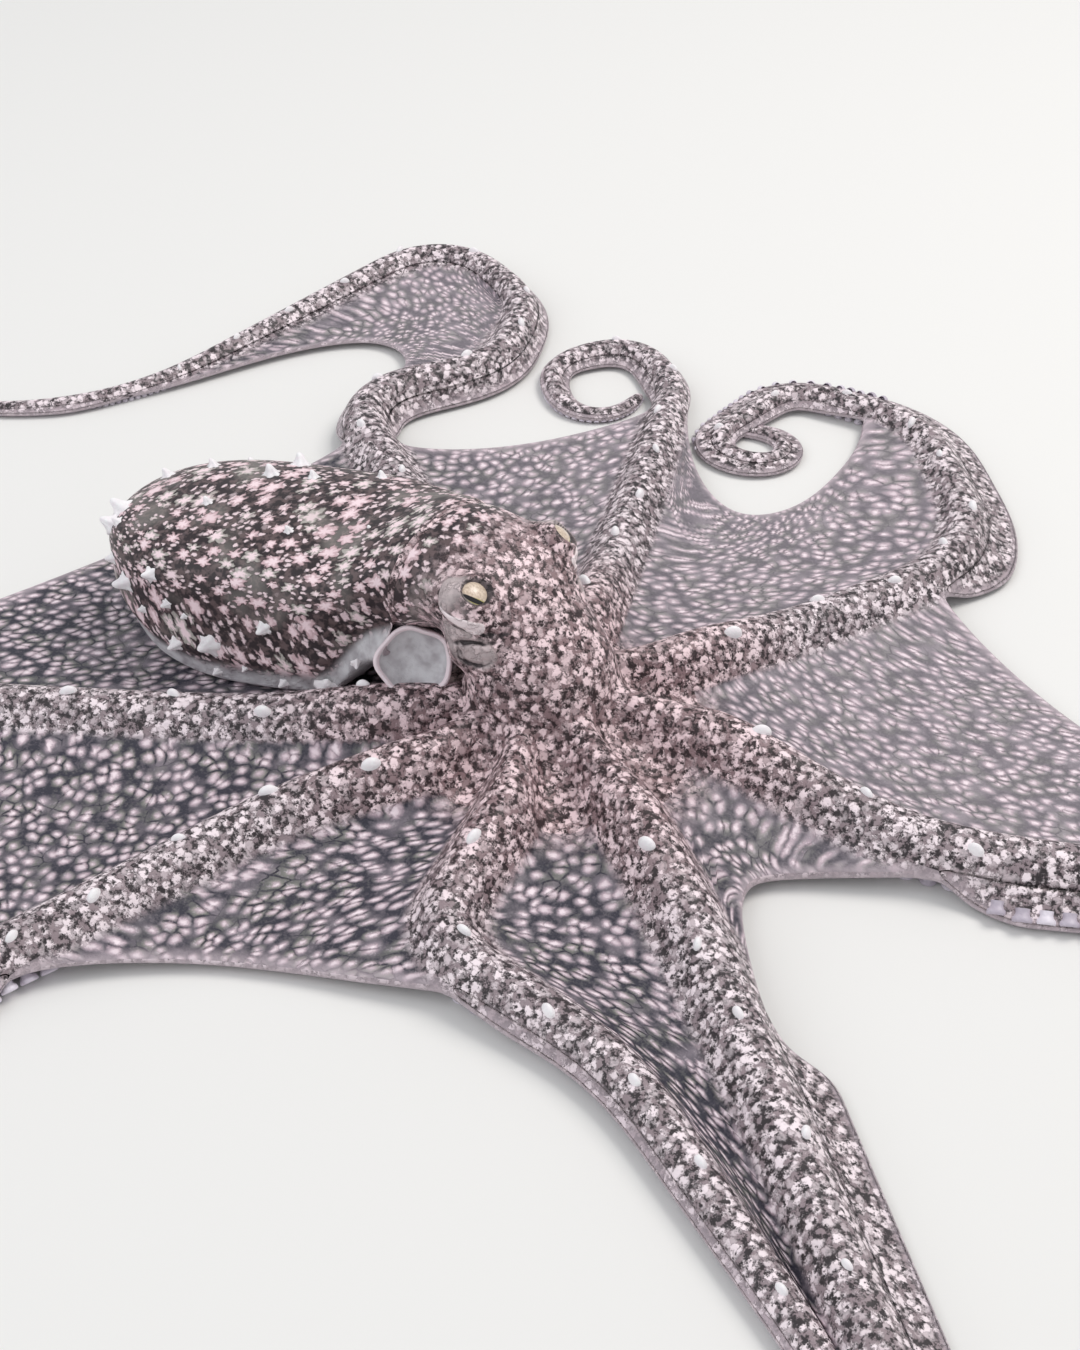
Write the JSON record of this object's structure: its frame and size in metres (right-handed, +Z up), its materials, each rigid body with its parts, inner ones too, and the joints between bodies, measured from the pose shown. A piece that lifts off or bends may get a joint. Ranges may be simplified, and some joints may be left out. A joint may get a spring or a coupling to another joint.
{
  "type": "octopus",
  "caption": "Still life-size octopus resting on the floor, rounded mantle behind a raised head with two eyes, arms and their webs spread out flat around it with curled tips.",
  "frame": {"origin": "centre of the arm crown, on the floor that the animal rests on", "axes": "+X the way the animal faces, +Y to its left, +Z up"},
  "size_m": [0.5247, 0.3858, 0.0462],
  "materials": {
    "skin": "moist satin skin: dark net over pale spots on the webs, pale stars on the mantle, sandy flecks on the arms",
    "eye": "wet gloss"
  },
  "bodies": {
    "root": {"crown": "skin", "head": "skin", "mantle": "skin", "funnel": "skin", "eye_left": "eye", "eye_right": "eye", "arm_left_1_a": "skin", "arm_left_1_b": "skin", "arm_left_1_c": "skin", "web_left_1_2": "skin", "arm_left_2_a": "skin", "arm_left_2_b": "skin", "arm_left_2_c": "skin", "web_left_2_3": "skin", "arm_left_3_a": "skin", "arm_left_3_b": "skin", "arm_left_3_c": "skin", "web_left_3_4": "skin", "arm_left_4_a": "skin", "arm_left_4_b": "skin", "arm_left_4_c": "skin", "arm_left_4_d": "skin", "web_rear": "skin", "arm_right_4_a": "skin", "arm_right_4_b": "skin", "arm_right_4_c": "skin", "web_right_3_4": "skin", "arm_right_3_a": "skin", "arm_right_3_b": "skin", "arm_right_3_c": "skin", "web_right_2_3": "skin", "arm_right_2_a": "skin", "arm_right_2_b": "skin", "arm_right_2_c": "skin", "web_right_1_2": "skin", "arm_right_1_a": "skin", "arm_right_1_b": "skin", "arm_right_1_c": "skin", "web_front": "skin", "web_hairpin": "skin"}
  },
  "joints": []
}
